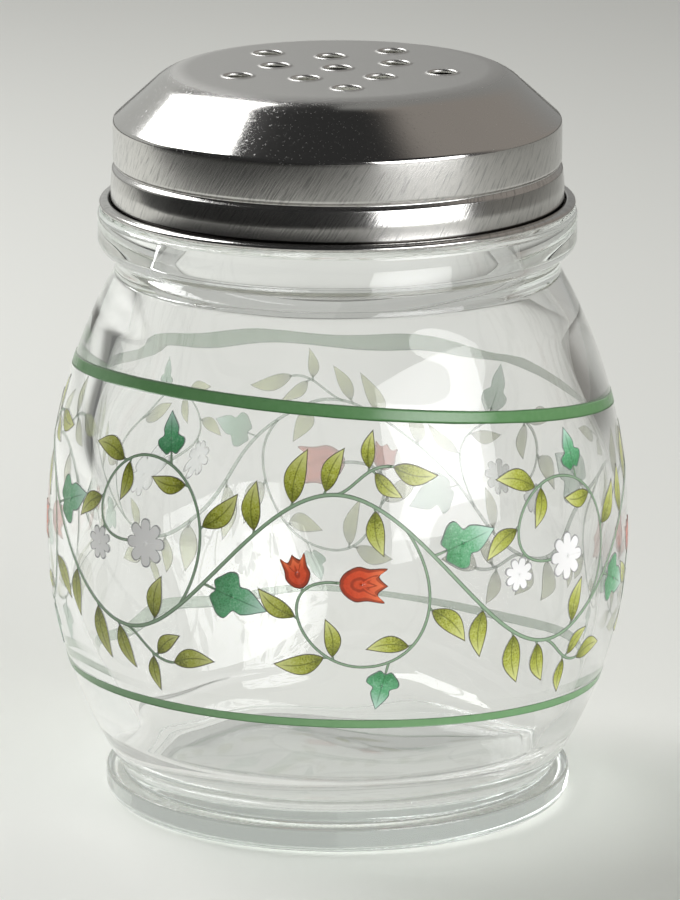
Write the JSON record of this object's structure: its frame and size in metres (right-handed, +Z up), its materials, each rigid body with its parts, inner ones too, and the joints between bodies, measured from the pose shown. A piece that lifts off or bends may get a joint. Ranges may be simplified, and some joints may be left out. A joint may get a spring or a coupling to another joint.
{
  "type": "cheese shaker",
  "caption": "Barrel-shaped clear glass cheese shaker with an enamelled vine border and a screw-on perforated steel cap.",
  "frame": {"origin": "centre of the foot, on the surface the jar stands on", "axes": "+Z up along the jar's axis, -Y towards the pictured front, +X to the right seen from the front"},
  "size_m": [0.092, 0.092, 0.1166],
  "materials": {
    "clear_glass": "clear moulded soda-lime glass, faintly green where thick",
    "cap_steel": "pressed stainless steel: satin top and bands, polished shoulder",
    "liner_plastic": "off-white moulded polypropylene",
    "washer_board": "off-white foamed sealing disc",
    "dark_green_enamel": "fired enamel, slightly proud",
    "mid_green_enamel": "fired enamel, slightly proud",
    "stem_enamel": "fired enamel, grey-green",
    "olive_enamel": "fired enamel, olive with a stippled tone",
    "blue_green_enamel": "fired enamel, blue-green with a stippled tone",
    "red_enamel": "fired enamel, orange-red",
    "white_enamel": "fired enamel, white"
  },
  "bodies": {
    "jar": {"glass_jar": "clear_glass", "upper_stripe": "dark_green_enamel", "lower_stripe": "mid_green_enamel", "vine_stems": "stem_enamel", "olive_leaves": "olive_enamel", "lobed_leaves": "blue_green_enamel", "red_buds": "red_enamel", "white_daisies": "white_enamel"},
    "seal": {"sealing_washer": "washer_board"},
    "lid": {"steel_cap": "cap_steel", "thread_liner": "liner_plastic"}
  },
  "joints": [
    {"name": "lid_rise", "type": "slide", "parent": "jar", "child": "seal", "axis": [0, 0, 1], "range_m": [0, 0.021]},
    {"name": "lid_turn", "type": "hinge", "parent": "seal", "child": "lid", "pos_m": [0, 0, 0.1], "axis": [0, 0, 1], "range_deg": [0, 1800]}
  ],
  "couplings": [
    {"joint": "lid_rise", "follows": "lid_turn", "m_per_rad": 0.00066845}
  ]
}
